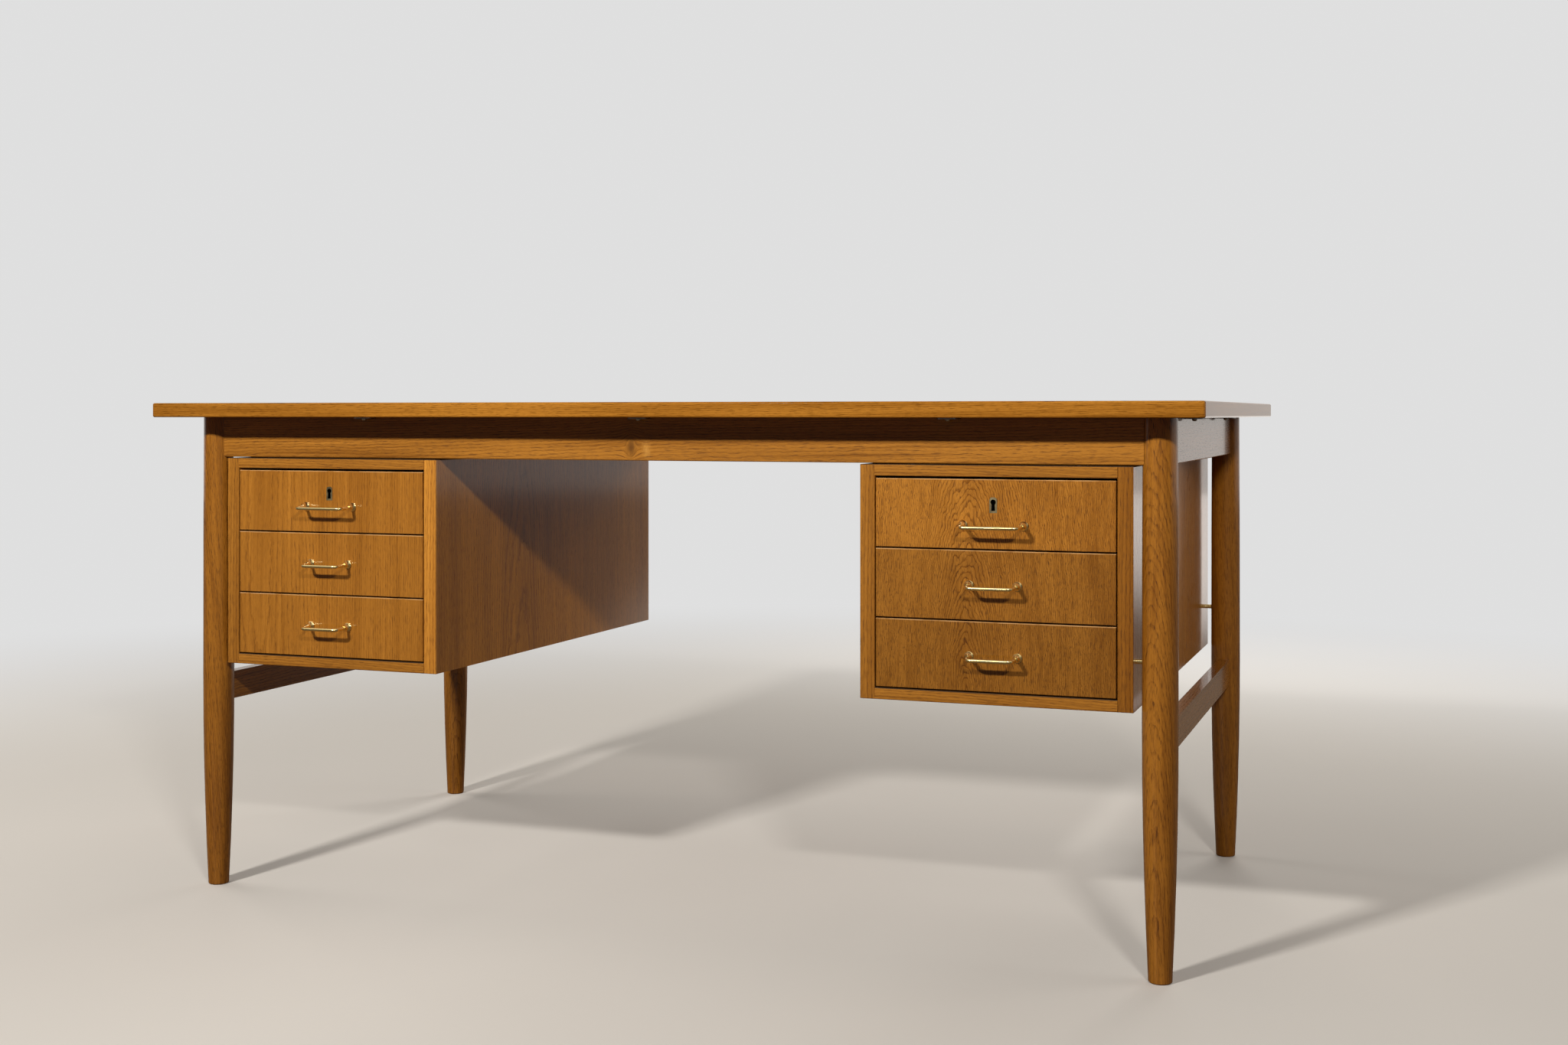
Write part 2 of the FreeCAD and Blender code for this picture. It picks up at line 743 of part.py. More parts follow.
def build_pedestals():
    runners = []
    washers = []
    screws = []
    rods = []
    for side, sign in SIDES.items():
        shift = vector(sign * pedestal_centre_x, 0, 0)
        rod_holes = [spacer_rod(side, end, joint_clearance) for end in (-1, 1)]
        screw_holes = [hanger_screw(x, y, joint_clearance) for x, y in hanger_places()]
        save(side + "_pedestal_outer_side", pedestal_side(sign).translated(shift).cut(rod_holes))
        save(side + "_pedestal_inner_side", pedestal_side(-sign).translated(shift))
        top_board = pedestal_board(opening_high).cut(screw_holes + [bolt_slot("top")])
        save(side + "_pedestal_top", top_board.translated(shift))
        save(side + "_pedestal_bottom", pedestal_board(pedestal_low).translated(shift))
        save(side + "_pedestal_back", back_panel().translated(shift))
        runners += [runner(level, hand).translated(shift) for level in LEVELS for hand in (-1, 1)]
        washers += [hanger_washer(x, y).translated(shift) for x, y in hanger_places()]
        screws += [hanger_screw(x, y).translated(shift) for x, y in hanger_places()]
        rods += [spacer_rod(side, end) for end in (-1, 1)]
    save("drawer_runners", *runners)
    save("pedestal_hanger_washers", *washers)
    save("pedestal_hanger_screws", *screws)
    save("pedestal_spacer_rods", *rods)


def build_drawers():
    for side, sign in SIDES.items():
        shift = vector(sign * pedestal_centre_x, 0, 0)
        for level in LEVELS:
            name = side + "_" + level + "_drawer_"
            box_boards = [drawer_side(level, hand) for hand in (-1, 1)] + [drawer_back(level)]
            save(name + "front", drawer_front(side, level).translated(shift))
            save(name + "box", *[board.translated(shift) for board in box_boards])
            save(name + "bottom", drawer_bottom(level).translated(shift))
            save(name + "handle", *[piece.translated(shift) for piece in handle(side, level)])
        insert = key_insert_blank("top").cut(key_outline("top"))
        save(side + "_key_escutcheon", insert.translated(shift))
        save(side + "_lock_case", lock_case("top").translated(shift))
        save(side + "_lock_bolt", lock_bolt("top").translated(shift))


os.makedirs("parts", exist_ok=True)
build_top()
build_frame()
build_fasteners()
build_pedestals()
build_drawers()
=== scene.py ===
import math

import bpy
from mathutils import Matrix, Vector


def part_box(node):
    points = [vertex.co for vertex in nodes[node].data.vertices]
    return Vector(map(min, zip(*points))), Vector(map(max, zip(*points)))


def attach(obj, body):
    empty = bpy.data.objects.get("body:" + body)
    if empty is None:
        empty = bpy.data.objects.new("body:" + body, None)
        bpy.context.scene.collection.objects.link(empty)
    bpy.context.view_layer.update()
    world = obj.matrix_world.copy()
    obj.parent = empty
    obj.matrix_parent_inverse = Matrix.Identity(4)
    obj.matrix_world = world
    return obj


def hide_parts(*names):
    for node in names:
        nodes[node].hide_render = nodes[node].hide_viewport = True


# Oak writing desk: its finishes, its screws, a plain studio and the camera.
# Metres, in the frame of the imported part: +X to the sitter's right, -Y towards the sitter.

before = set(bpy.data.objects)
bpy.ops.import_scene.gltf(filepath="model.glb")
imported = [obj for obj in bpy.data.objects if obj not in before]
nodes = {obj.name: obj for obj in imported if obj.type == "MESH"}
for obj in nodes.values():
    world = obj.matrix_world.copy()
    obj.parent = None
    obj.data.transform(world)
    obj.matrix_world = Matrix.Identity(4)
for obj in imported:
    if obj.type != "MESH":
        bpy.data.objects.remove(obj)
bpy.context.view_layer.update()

# Camera of the photograph
camera_place = (1.0545, -2.6703, 0.7140)
camera_turn = 0.3506
camera_lens = 41.95
camera_sensor = 36.0
camera_shift = -0.0693

# Room: the backdrop that the camera sees, the fill in the shade, and what gloss mirrors
backdrop_level = 0.74
fill_level = 0.065
room_side_level = 0.06
mirrored_level = 0.64
mirrored_span = (-0.35, 0.25)
ceiling_level = 0.95
ceiling_span = (0.25, 0.75)
mirrored_tint = (1.0, 0.94, 0.88)

# Floor, whose mirrored far part is lighter at small bearings from straight behind the desk
floor_radius = 14.0
floor_sides = 96
floor_colour = (0.78, 0.72, 0.64)
floor_noise = (1.2, 3.0)
floor_cloud_shade = 0.94
floor_bounce_colour = (0.155, 0.105, 0.062)
floor_roughness = 0.6
floor_sheen = 0.1
floor_fade = (1.4, 4.0)
far_floor_bearings = (0.24, 0.36)
far_floor_levels = (1.10, 0.09)

# Lamps: the place of each, the point that it faces, and its watts
lamp_size = (0.34, 0.26)
lamps = {
    "left_softbox": ((-1.06, -3.41, 2.33), (-0.1, 0.0, 3.25), 166.0),
    "right_softbox": ((1.85, -3.10, 2.14), (0.4, 0.0, 4.3), 98.0),
}
fill_lamp_size = (2.4, 1.6)
fill_lamps = {
    "rear_softbox": ((0.5, 3.6, 1.9), (0.0, 0.4, 0.5), 60.0),
    "left_end_softbox": ((-4.0, 0.6, 1.8), (-0.7, 0.0, 0.4), 45.0),
    "right_end_softbox": ((4.2, 0.8, 1.8), (0.7, 0.0, 0.4), 26.0),
}

# Oak tones, from pale late wood to dark early wood
solid_tones = ((0.435, 0.172, 0.021), (0.195, 0.064, 0.005))
bright_tones = ((0.660, 0.272, 0.036), (0.340, 0.116, 0.011))
stile_tones = ((0.330, 0.120, 0.012), (0.150, 0.046, 0.003))
leg_tones = ((0.370, 0.138, 0.014), (0.140, 0.040, 0.003))
front_tones = ((0.470, 0.184, 0.022), (0.210, 0.067, 0.004))
panel_tones = ((0.540, 0.205, 0.014), (0.235, 0.075, 0.003))
inside_tones = ((0.55, 0.33, 0.13), (0.33, 0.17, 0.055))
plywood_tones = ((0.60, 0.42, 0.22), (0.42, 0.25, 0.11))
# Painted shade on the fronts by row, bottom to top: darker towards the bottom, most on the right
# pedestal, where light falls off downwards
front_painted_shades = {"left": (0.97, 0.98, 1.01), "right": (0.72, 0.80, 1.0)}
pore_tint = (0.50, 0.45, 0.40)

# Noise in the oak: scale across the grain per metre, stretch along it, detail and roughness
oak_noises = {
    "bend": (7.0, 0.22, 1.5, 0.6),
    "ripple": (65.0, 0.5, 2.0, 0.6),
    "streak": (210.0, 0.014, 3.0, 0.65),
    "band": (34.0, 0.05, 2.0, 0.5),
    "broad": (8.0, 0.25, 2.0, 0.5),
    "dash": (760.0, 0.10, 1.0, 0.5),
    "fine_dash": (1700.0, 0.08, 1.0, 0.5),
}
noise_middle = 0.5

# How the oak's figure is put together
early_span = (0.02, 0.42)
pore_span = (0.50, 0.68)
fine_pore_span = (0.54, 0.70)
fine_pore_depth = 0.7
late_pores = 0.45
year_share = 0.25
ring_middle = 0.32
streak_weight = 1.4
broad_weight = 0.9
usual_shade = 0.36
oak_roughness = 0.30
pore_roughness = 0.25
early_hollow = -0.25
oak_ior = 1.5
grain_bump = (0.10, 0.0003)

# Figure of the oak, where a piece has none of its own, and the figures of single pieces
usual_figure = {
    "ring_width": 0.0026,
    "wander": 0.02,
    "ripple": 0.003,
    "ring_depth": 0.6,
    "stripe_depth": 1.2,
    "pore_depth": 0.75,
}
leg_figure = {
    "ring_width": 0.0019,
    "wander": 0.03,
    "ripple": 0.0024,
    "ring_depth": 0.36,
    "pore_depth": 0.8,
}
panel_figure = {"ring_width": 0.0034, "wander": 0.03, "ring_depth": 0.45, "stripe_depth": 0.8}
front_figures = {
    "left": {
        "ring_width": 0.0034,
        "wander": 0.03,
        "ring_depth": 0.3,
        "stripe_depth": 0.75,
        "pore_depth": 0.6,
    },
    "right": {
        "ring_width": 0.0022,
        "wander": 0.03,
        "ripple": 0.007,
        "ring_depth": 0.9,
        "stripe_depth": 0.8,
        "pore_depth": 0.95,
    },
}
top_finish = {"lacquer": 0.35, "gloss": 0.55, "sheen": 0.0, "ring_width": 0.0045, "wander": 0.05}
lipping_finish = {"sheen": 0.0, "wander": 0.012, "ring_depth": 0.45}
long_lipping_lacquer = 0.02
end_lipping_lacquer = 1.0
back_lacquer = 0.2
box_lacquer = 0.1
plywood_ring_width = 0.006

# Logs that the pieces are sawn from: where the heart lies, and how it leans
log_height = 0.5
leg_twists = {"front_left": 0.9, "front_right": 0.2, "rear_left": -0.6, "rear_right": 1.7}
leg_heart_reach = 0.05
leg_heart_rise = 0.2
leg_lean = 0.07
apron_heart = (0.1, 0.09)
front_apron_heart_drop = 0.04
rear_apron_heart_drop = 0.08
apron_lean = (0.01, -0.02)
rail_heart_inset = 0.05
rail_heart_drop = 0.03
rail_lean = (0.02, 0.01)
top_heart = (0.0, 0.05)
top_heart_drop = 0.09
top_lean = (0.0, 0.03)
long_lipping_heart = (0.9, -0.38)
long_lipping_drop = 0.16
long_lipping_lean = (0.008, -0.012)
end_lipping_heart = (0.2, 0.1)
end_lipping_drop = 1.2
end_lipping_lean = (0.012, 0.01)
side_heart_inset = 0.16
side_heart_depth = 0.12
side_lean = (0.02, 0.03)
side_edge_inset = (0.05, 0.04)
side_edge_lean = (0.02, 0.01)
board_heart_depth = 0.06
board_heart_drop = 0.05
board_lean = (0.01, 0.02)
back_heart_depth = 0.45
back_lean = (0.04, 0.0)
front_hearts = {"left": (-0.62, 0.10), "right": (0.468, 0.030)}
front_leans = {"left": (0.01, 0.02), "right": (-0.17, 0.0)}
box_side_log = ("y", (0.3, 0.0, 0.3), (0.01, 0.01))
box_back_log = ("x", (0.0, 0.4, 0.3), (0.01, 0.01))
plywood_log = ("x", (0.0, 0.0, 0.1), (0.0, 0.05))
runner_log = ("y", (0.0, 0.0, 0.2), (0.01, 0.01))

# Knot in the front apron and the pale swirl beside it
knot_place = (-0.015, -0.364, 0.668)
knot_size = 0.009
knot_form = (1.3, 0.0, 0.8)
knot_rim = (0.5 * knot_size, 2.2 * knot_size)
knot_depth = 0.75
knot_tone = (0.080, 0.026, 0.004)
knot_noise = (260.0, 3.0, 0.6)
swirl_offset = (0.024, 0.0, -0.003)
swirl_form = (1.0, 0.0, 0.6)
swirl_raggedness = 1.6 * knot_size
swirl_rim = (0.6 * knot_size, 1.9 * knot_size)
swirl_depth = 0.6
swirl_tone = (0.620, 0.300, 0.060)

# Painted highlight along upper edges, painted shade on raw wood, and painted shade in bores
# Painted highlight: a pale line along a front's upper arris, where it catches the light, broken by
# noise
edge_highlight_tone = (0.60, 0.33, 0.13)
edge_highlight_width = 0.0008
edge_highlight_noise = (45.0, 3.0)
edge_highlight_span = (0.30, 0.55)
edge_highlight_depth = (0.25, 0.75)
# Raw wood: unlacquered and rough, and dark with painted shade, as a hidden upper face lies in the
# desk's shadow
raw_painted_shade_tone = (0.10, 0.05, 0.02)
raw_depth = 0.0008
raw_roughness = 0.95
# Painted shade inside the keyholes: near black from a small depth behind the face, within a reach of
# the hole
painted_bore_shade = (0.006, 0.004, 0.003)
bore_start_depth = 0.0008
bore_reach = 0.016

# Where the grain changes: behind the pedestal sides' front edges, and at the drawer boxes' backs
solid_edge_depth = 0.005
box_back_depth = 0.010

# Metals: bright and dull tones, and the roughness of polished and of dull places
brass_tones = ((0.98, 0.80, 0.38), (0.74, 0.56, 0.20))
brass_roughness = (0.19, 0.32)
aged_brass_tones = ((0.50, 0.40, 0.22), (0.30, 0.23, 0.11))
aged_brass_roughness = (0.28, 0.5)
steel_tones = ((0.46, 0.45, 0.43), (0.21, 0.20, 0.19))
steel_roughness = (0.25, 0.5)
black_steel_tones = ((0.05, 0.05, 0.05), (0.02, 0.02, 0.02))
black_steel_roughness = (0.4, 0.6)
patch_noise = (90.0, 3.0, 0.6)
patch_span = (0.38, 0.72)
patch_weight = 0.55
speck_noise = (900.0, 2.0)
speck_span = (0.60, 0.75)
speck_weight = 0.35
scratch_noise = (4200.0, 1.0)
scratch_stretch = (0.06, 1.0, 1.0)
scratch_bump = (0.02, 0.0001)

# Screws of the plates under the top, the domed heads in steps of a drop and a share of the last rim
screw_sides = 32
screw_head_radius = 0.0035
screw_shank_radius = 0.0017
screw_rim = 0.0004
screw_point = 0.003
screw_tip_share = 0.15
screw_neck = 0.0016
screw_slot = (0.0009, 0.009, 0.0022)
screw_dome = ((0.0010, 0.93), (0.0009, 0.80), (0.0005, 0.62), (0.0002, 0.50))
screw_places = {"y": (-0.44, 0.0, 0.44), "x": (-0.18, 0.18)}
screw_reach = {"y": 0.352, "x": 0.710}
screw_step = 0.02
screw_turn_step = 0.7
screw_first_turn = 0.3
screw_smooth_angle = math.radians(40.0)
screw_end_facing = 0.9

# Sockets of a Mix node by its kind of data: the factor, the two that are mixed, and the result
mix_sockets = {"RGBA": (0, 6, 7, 2), "VECTOR": (0, 4, 5, 1)}


# Node helpers


def connect(tree, socket, value):
    """Link a socket to another node's output, or set it to a constant."""
    if isinstance(value, bpy.types.NodeSocket):
        tree.links.new(value, socket)
    else:
        socket.default_value = value


def add(tree, kind, inputs=None, **settings):
    """New node with its settings, and its inputs set or linked."""
    made = tree.nodes.new(kind)
    for key, value in settings.items():
        setattr(made, key, value)
    for key, value in (inputs or {}).items():
        connect(tree, made.inputs[key], value)
    return made


def calc(tree, operation, *values, clamp=False):
    """Result of arithmetic on values."""
    settings = {"operation": operation, "use_clamp": clamp}
    return add(tree, "ShaderNodeMath", dict(enumerate(values)), **settings).outputs[0]


def vector_calc(tree, operation, *values):
    """Result of arithmetic on vectors."""
    return add(tree, "ShaderNodeVectorMath", dict(enumerate(values)), operation=operation).outputs[0]


def scaled(tree, vector, factors):
    return vector_calc(tree, "MULTIPLY", vector, factors)


def distance(tree, vector):
    """Length of a vector."""
    return add(tree, "ShaderNodeVectorMath", {0: vector}, operation="LENGTH").outputs["Value"]


def xyz(tree, vector):
    """X, Y and Z of a vector."""
    return add(tree, "ShaderNodeSeparateXYZ", {0: vector}).outputs


def noise(tree, vector, scale, detail, roughness=0.5):
    """Outputs of a noise of a scale per metre, a detail and a roughness."""
    settings = {"Vector": vector, "Scale": scale, "Detail": detail, "Roughness": roughness}
    return add(tree, "ShaderNodeTexNoise", settings).outputs


def ramp(tree, value, low, high, bottom=0.0, top=1.0):
    """Smooth step of a value between two ends."""
    ends = {"Value": value, "From Min": low, "From Max": high, "To Min": bottom, "To Max": top}
    return add(tree, "ShaderNodeMapRange", ends, interpolation_type="SMOOTHSTEP").outputs[0]


def mix(tree, factor, first, second, way="MIX", kind="RGBA"):
    """Mix of two colours, or of two vectors."""
    made = add(tree, "ShaderNodeMix", data_type=kind, blend_type=way)
    *given, result = mix_sockets[kind]
    for index, value in zip(given, (factor, first, second)):
        connect(tree, made.inputs[index], value)
    return made.outputs[result]


def opaque(colour):
    return (*colour, 1.0)


def opaque_pair(tones):
    return tuple(opaque(tone) for tone in tones)


def grey(level):
    return (level, level, level, 1.0)


def new_group(name, inputs, outputs):
    """Node group with named sockets: the group, its inputs and its outputs."""
    tree = bpy.data.node_groups.new(name, "ShaderNodeTree")
    for label, kind in inputs.items():
        tree.interface.new_socket(label, in_out="INPUT", socket_type="NodeSocket" + kind)
    for label, kind in outputs.items():
        tree.interface.new_socket(label, in_out="OUTPUT", socket_type="NodeSocket" + kind)
    given = tree.nodes.new("NodeGroupInput").outputs
    return tree, given, tree.nodes.new("NodeGroupOutput").inputs


# Shared surface effects


def oak_figure_group():
    """Oak sawn from a log whose heart runs along Z: growth rings, pores and streaks."""
    tree, given, result = new_group(
        "oak_figure",
        {
            "Log": "Vector",
            "Pale": "Color",
            "Dark": "Color",
            "Ring Width": "Float",
            "Wander": "Float",
            "Ripple": "Float",
            "Ring Depth": "Float",
            "Stripe Depth": "Float",
            "Pore Depth": "Float",
        },
        {"Color": "Color", "Roughness": "Float", "Height": "Float"},
    )
    log = given["Log"]

    def layer(name, place):
        """One of the oak's noises, drawn out along the grain."""
        scale, stretch, detail, roughness = oak_noises[name]
        return noise(tree, scaled(tree, place, (1.0, 1.0, stretch)), scale, detail, roughness)

    def swing(value):
        return calc(tree, "SUBTRACT", value, noise_middle)

    def drifted(name, place, amount):
        """A place moved by a noise."""
        away = vector_calc(tree, "SUBTRACT", layer(name, place)["Color"], (noise_middle,) * 3)
        shift = {0: away, "Scale": amount}
        moved = add(tree, "ShaderNodeVectorMath", shift, operation="SCALE").outputs[0]
        return vector_calc(tree, "ADD", place, moved)

    bent = drifted("ripple", drifted("bend", log, given["Wander"]), given["Ripple"])
    reach = distance(tree, scaled(tree, bent, (1.0, 1.0, 0.0)))
    years = calc(tree, "DIVIDE", reach, given["Ring Width"])
    early = ramp(tree, calc(tree, "FRACT", years), *early_span, 1.0, 0.0)
    year = {"W": calc(tree, "FLOOR", years)}
    year_tone = add(tree, "ShaderNodeTexWhiteNoise", year, noise_dimensions="1D").outputs["Value"]

    coarse_pores = ramp(tree, layer("dash", bent)["Fac"], *pore_span)
    fine_pores = ramp(tree, layer("fine_dash", bent)["Fac"], *fine_pore_span, 0.0, fine_pore_depth)
    crowd = calc(tree, "MULTIPLY_ADD", early, 1.0 - late_pores, late_pores)
    pores = calc(tree, "MULTIPLY", calc(tree, "MAXIMUM", coarse_pores, fine_pores), crowd)

    early_shade = calc(tree, "MULTIPLY", early, 1.0 - year_share)
    ring_shade = calc(tree, "MULTIPLY_ADD", year_tone, year_share, early_shade)
    ring_shade = calc(tree, "SUBTRACT", ring_shade, ring_middle)
    ring_shade = calc(tree, "MULTIPLY", ring_shade, given["Ring Depth"])
    streak = swing(layer("streak", log)["Fac"])
    stripes = calc(tree, "MULTIPLY_ADD", streak, streak_weight, swing(layer("band", log)["Fac"]))
    shade = calc(tree, "MULTIPLY_ADD", stripes, given["Stripe Depth"], ring_shade)
    shade = calc(tree, "MULTIPLY_ADD", swing(layer("broad", log)["Fac"]), broad_weight, shade)
    shade = calc(tree, "ADD", shade, usual_shade, clamp=True)

    wood = mix(tree, shade, given["Pale"], given["Dark"])
    pore_colour = mix(tree, 1.0, given["Dark"], opaque(pore_tint), "MULTIPLY")
    wood = mix(tree, calc(tree, "MULTIPLY", pores, given["Pore Depth"]), wood, pore_colour)
    roughness = calc(tree, "MULTIPLY_ADD", pores, pore_roughness, oak_roughness)
    hollow = calc(tree, "MULTIPLY", early, early_hollow)
    tree.links.new(wood, result["Color"])
    tree.links.new(roughness, result["Roughness"])
    tree.links.new(calc(tree, "MULTIPLY_ADD", pores, -1.0, hollow), result["Height"])
    return tree


def handled_metal_group():
    """Metal that is polished where it is touched and dull in patches, with fine scratches."""
    tree, given, result = new_group(
        "handled_metal",
        {
            "Place": "Vector",
            "Bright": "Color",
            "Dull": "Color",
            "Smooth": "Float",
            "Rough": "Float",
        },
        {"Color": "Color", "Roughness": "Float", "Height": "Float"},
    )
    place = given["Place"]
    patch = ramp(tree, noise(tree, place, *patch_noise)["Fac"], *patch_span)
    speck = ramp(tree, noise(tree, place, *speck_noise)["Fac"], *speck_span)
    scratch = noise(tree, scaled(tree, place, scratch_stretch), *scratch_noise)["Fac"]
    patched = calc(tree, "MULTIPLY", patch, patch_weight)
    dulled = calc(tree, "MULTIPLY_ADD", speck, speck_weight, patched, clamp=True)
    spread = calc(tree, "SUBTRACT", given["Rough"], given["Smooth"])
    roughness = calc(tree, "MULTIPLY_ADD", dulled, spread, given["Smooth"])
    tree.links.new(mix(tree, dulled, given["Bright"], given["Dull"]), result["Color"])
    tree.links.new(roughness, result["Roughness"])
    tree.links.new(scratch, result["Height"])
    return tree


oak_figure = oak_figure_group()
handled_metal = handled_metal_group()


# Materials


def object_place(tree):
    """Coordinates of the piece that wears a material."""
    return add(tree, "ShaderNodeTexCoord").outputs["Object"]


def new_material(name):
    """New material: itself, its node tree, its Principled shader and its piece's coordinates."""
    material = bpy.data.materials.new(name)
    material.use_nodes = True
    tree = material.node_tree
    return material, tree, tree.nodes["Principled BSDF"], object_place(tree)


def reopened(material):
    """Made material: its node tree, its Principled shader and its piece's coordinates."""
    tree = material.node_tree
    return tree, tree.nodes["Principled BSDF"], object_place(tree)


def dress(tree, shader, group, inputs, bump):
    """Put a surface effect on a shader's colour, roughness and normal."""
    effect = add(tree, "ShaderNodeGroup", node_tree=group)
    for label, value in inputs.items():
        connect(tree, effect.inputs[label], value)
    tree.links.new(effect.outputs["Color"], shader.inputs["Base Color"])
    tree.links.new(effect.outputs["Roughness"], shader.inputs["Roughness"])
    relief = {"Height": effect.outputs["Height"], "Strength": bump[0], "Distance": bump[1]}
    raised = add(tree, "ShaderNodeBump", relief)
    tree.links.new(raised.outputs["Normal"], shader.inputs["Normal"])


def overlay(tree, shader, mask, tone):
    """Lay a tone over a shader's colour by a mask."""
    colour = shader.inputs["Base Color"].links[0].from_socket
    tree.links.new(mix(tree, mask, colour, opaque(tone)), shader.inputs["Base Color"])


def log_place(tree, place, grain, heart, lean):
    """Coordinates in a log whose heart passes a point and runs along X, Y or Z, leaning a little."""
    turns = {
        "x": (lean[0], math.pi / 2 + lean[1], 0.0),
        "y": (-math.pi / 2 + lean[0], 0.0, lean[1]),
        "z": (lean[0], lean[1], 0.0),
    }
    settings = {"Vector": place, "Location": heart, "Rotation": turns[grain]}
    return add(tree, "ShaderNodeMapping", settings, vector_type="TEXTURE").outputs[0]


def lacquered_oak(tree, shader, log, tones, lacquer=0.9, gloss=0.10, sheen=0.12, **figure):
    """Give a shader oak's figure, under lacquer of a weight and a roughness."""
    inputs = {"Log": log, "Pale": tones[0], "Dark": tones[1]}
    for label, value in (usual_figure | figure).items():
        inputs[label.replace("_", " ").title()] = value
    shader.inputs["IOR"].default_value = oak_ior
    shader.inputs["Specular IOR Level"].default_value = sheen
    shader.inputs["Coat Weight"].default_value = lacquer
    shader.inputs["Coat Roughness"].default_value = gloss
    dress(tree, shader, oak_figure, inputs, grain_bump)


def oak(name, grain, heart, lean, tones, **figure):
    """Oak of one grain direction, sawn beside a heart."""
    material, tree, shader, place = new_material(name)
    log = log_place(tree, place, grain, heart, lean)
    lacquered_oak(tree, shader, log, opaque_pair(tones), **figure)
    return material


def knotted_oak(name, heart, lean, tones):
    """Oak along X whose grain flows round a small knot in its front, with a pale swirl beside it."""
    material, tree, shader, place = new_material(name)
    away = vector_calc(tree, "SUBTRACT", place, knot_place)
    reach = distance(tree, scaled(tree, away, knot_form))
    ratio = calc(tree, "DIVIDE", knot_size, calc(tree, "MAXIMUM", reach, knot_size))
    flow = calc(tree, "SUBTRACT", 1.0, calc(tree, "MULTIPLY", ratio, ratio))
    squeeze = add(tree, "ShaderNodeCombineXYZ", {"X": 1.0, "Y": 1.0, "Z": flow}).outputs[0]
    bent = vector_calc(tree, "ADD", scaled(tree, away, squeeze), knot_place)
    log = log_place(tree, bent, "x", heart, lean)
    lacquered_oak(tree, shader, log, opaque_pair(tones))

    ragged = noise(tree, place, *knot_noise)["Fac"]
    beside = vector_calc(tree, "SUBTRACT", away, swirl_offset)
    spread = distance(tree, scaled(tree, beside, swirl_form))
    spread = calc(tree, "MULTIPLY_ADD", ragged, swirl_raggedness, spread)
    overlay(tree, shader, ramp(tree, spread, *swirl_rim, swirl_depth, 0.0), swirl_tone)
    reach = calc(tree, "MULTIPLY_ADD", ragged, knot_size, reach)
    overlay(tree, shader, ramp(tree, reach, *knot_rim, knot_depth, 0.0), knot_tone)
    return material


def two_way_oak(name, elsewhere, first, second, first_tones, second_tones, **figure):
    """Oak of two logs: the second one's grain and tones show where a test on the place holds."""
    material, tree, shader, place = new_material(name)
    test = elsewhere(tree, xyz(tree, place))
    logs = [log_place(tree, place, *log) for log in (first, second)]
    log = mix(tree, test, *logs, kind="VECTOR")
    tones = opaque_pair(first_tones)
    if second_tones != first_tones:
        tones = [mix(tree, test, *pair) for pair in zip(tones, opaque_pair(second_tones))]
    lacquered_oak(tree, shader, log, tones, **figure)
    return material


def metal(name, tones, roughness):
    """Handled metal, of a tone and a roughness where it is polished and where it is dull."""
    material, tree, shader, place = new_material(name)
    pale, dull = opaque_pair(tones)
    smooth, rough = roughness
    inputs = {"Place": place, "Bright": pale, "Dull": dull, "Smooth": smooth, "Rough": rough}
    dress(tree, shader, handled_metal, inputs, scratch_bump)
    shader.inputs["Metallic"].default_value = 1.0
    return material


def lacquer_by_place(material, elsewhere, here, there):
    """Lacquer of one weight, and of another where a test on the place holds."""
    tree, shader, place = reopened(material)
    test = elsewhere(tree, xyz(tree, place))
    weight = calc(tree, "MULTIPLY_ADD", test, there - here, here)
    tree.links.new(weight, shader.inputs["Coat Weight"])


def paint_shade_within(material, elsewhere):
    """Paint shade, nearly black, over a material's colour where a test on the place holds, as the shade
    inside a narrow bore.
    """
    tree, shader, place = reopened(material)
    overlay(tree, shader, elsewhere(tree, xyz(tree, place)), painted_bore_shade)


def paint_upper_edge_highlight(material, height):
    """Painted highlight: a pale line along the upper edge of a piece, where its arris catches the
    light, broken here and there.
    """
    tree, shader, place = reopened(material)
    highlight_breakup = ramp(tree, noise(tree, place, *edge_highlight_noise)["Fac"], *edge_highlight_span, *edge_highlight_depth)
    edge = ramp(tree, xyz(tree, place)["Z"], height - 2 * edge_highlight_width, height - edge_highlight_width)
    overlay(tree, shader, calc(tree, "MULTIPLY", edge, highlight_breakup), edge_highlight_tone)


def leave_raw_with_painted_shade_above(material, height):
    """Leave the hidden upper face of a piece raw: rough and without lacquer, and dark with painted
    shade, as it lies in the desk's shadow.
    """
    tree, shader, place = reopened(material)
    below = calc(tree, "LESS_THAN", xyz(tree, place)["Z"], height)
    raw_and_shaded = calc(tree, "SUBTRACT", 1.0, below)
    lacquer = shader.inputs["Coat Weight"].default_value
    tree.links.new(calc(tree, "MULTIPLY", below, lacquer), shader.inputs["Coat Weight"])
    # Painted shade over the raw part
    overlay(tree, shader, raw_and_shaded, raw_painted_shade_tone)
    roughness = shader.inputs["Roughness"].links[0].from_socket
    roughness = calc(tree, "MAXIMUM", roughness, calc(tree, "MULTIPLY", raw_and_shaded, raw_roughness))
    tree.links.new(roughness, shader.inputs["Roughness"])


def give(material, *names):
    """Put a material on CAD nodes."""
    for name in names:
        nodes[name].material_slots[0].material = material


# Finishes of the desk's pieces


def dress_legs():
    """Legs turned from four logs, each with its heart on another side."""
    for name, twist in leg_twists.items():
        low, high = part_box(name + "_leg")
        middle = (low + high) / 2
        aside, ahead = math.sin(twist), math.cos(twist)
        heart_x = middle.x + leg_heart_reach * aside
        heart_y = middle.y + leg_heart_reach * ahead
        heart = (heart_x, heart_y, leg_heart_rise * twist)
        lean = (leg_lean * ahead, -leg_lean * aside)
        give(oak(name + "_leg_oak", "z", heart, lean, leg_tones, **leg_figure), name + "_leg")


